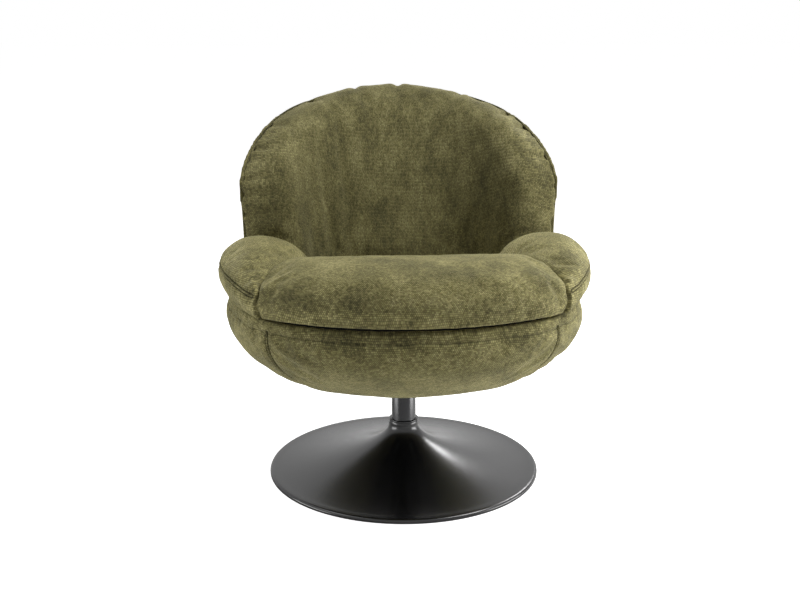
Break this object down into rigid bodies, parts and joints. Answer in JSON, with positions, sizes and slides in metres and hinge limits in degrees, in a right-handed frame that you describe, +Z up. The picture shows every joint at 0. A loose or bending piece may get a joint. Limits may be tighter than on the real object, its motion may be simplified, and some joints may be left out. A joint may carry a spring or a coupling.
{
  "type": "pedestal swivel armchair",
  "caption": "Low upholstered swivel armchair: round tub seat with roll arms and a curved wrap-around back on a slim column and a trumpet-shaped disc base.",
  "frame": {"origin": "centre of the floor pad's underside, on the swivel axis, at floor level", "axes": "+Z up along the swivel axis, -Y towards the front of the seat, +X to the right of someone looking at the chair from the front"},
  "size_m": [0.742, 0.7387, 0.771],
  "materials": {
    "upholstery": "olive chenille with a short brushed pile",
    "base_black": "satin black powder coat on spun steel",
    "column_black": "satin black powder coat on tube",
    "plate_black": "black powder coat on pressed steel",
    "trim_ring": "dark satin ring",
    "raw_steel": "oiled mild steel",
    "bright_steel": "zinc plated or ground steel",
    "cage_brass": "pressed brass",
    "bush_plastic": "black acetal",
    "plywood": "raw birch plywood",
    "webbing": "elastic webbing",
    "felt": "black needle felt"
  },
  "bodies": {
    "base": {"floor_pad": "felt", "base_weight": "raw_steel", "hub_screws": "bright_steel", "base_cover": "base_black", "neck_ring": "trim_ring", "column_hub": "raw_steel", "column_tube": "column_black", "column_plug": "raw_steel", "upper_bush": "bush_plastic", "bearing_washer_lower": "bright_steel"},
    "cage": {"bearing_cage": "cage_brass", "bearing_balls": "bright_steel"},
    "chair": {"arm_core_left": "plywood", "arm_core_right": "plywood", "arm_left": "upholstery", "arm_right": "upholstery", "arm_screws": "bright_steel", "back_bracket_left": "plate_black", "back_bracket_right": "plate_black", "back_pad": "upholstery", "back_rear_cover": "upholstery", "back_screws": "bright_steel", "back_shell": "plywood", "bearing_washer_upper": "bright_steel", "bowl_pad": "upholstery", "bowl_shell": "plywood", "deck_frame": "plywood", "deck_screws": "bright_steel", "mount_block": "plywood", "plate_bolts": "bright_steel", "plate_washers": "bright_steel", "seat_cushion": "upholstery", "seat_plate": "plate_black", "seat_webbing": "webbing", "spindle": "bright_steel", "t_nuts": "bright_steel", "taper_socket": "plate_black"}
  },
  "joints": [
    {"name": "swivel", "type": "hinge", "parent": "base", "child": "chair", "pos_m": [0, 0, 0.2], "axis": [0, 0, 1], "continuous": true},
    {"name": "cage_spin", "type": "hinge", "parent": "base", "child": "cage", "pos_m": [0, 0, 0.032], "axis": [0, 0, 1], "continuous": true}
  ],
  "couplings": [
    {"joint": "cage_spin", "follows": "swivel", "ratio": 0.5}
  ]
}
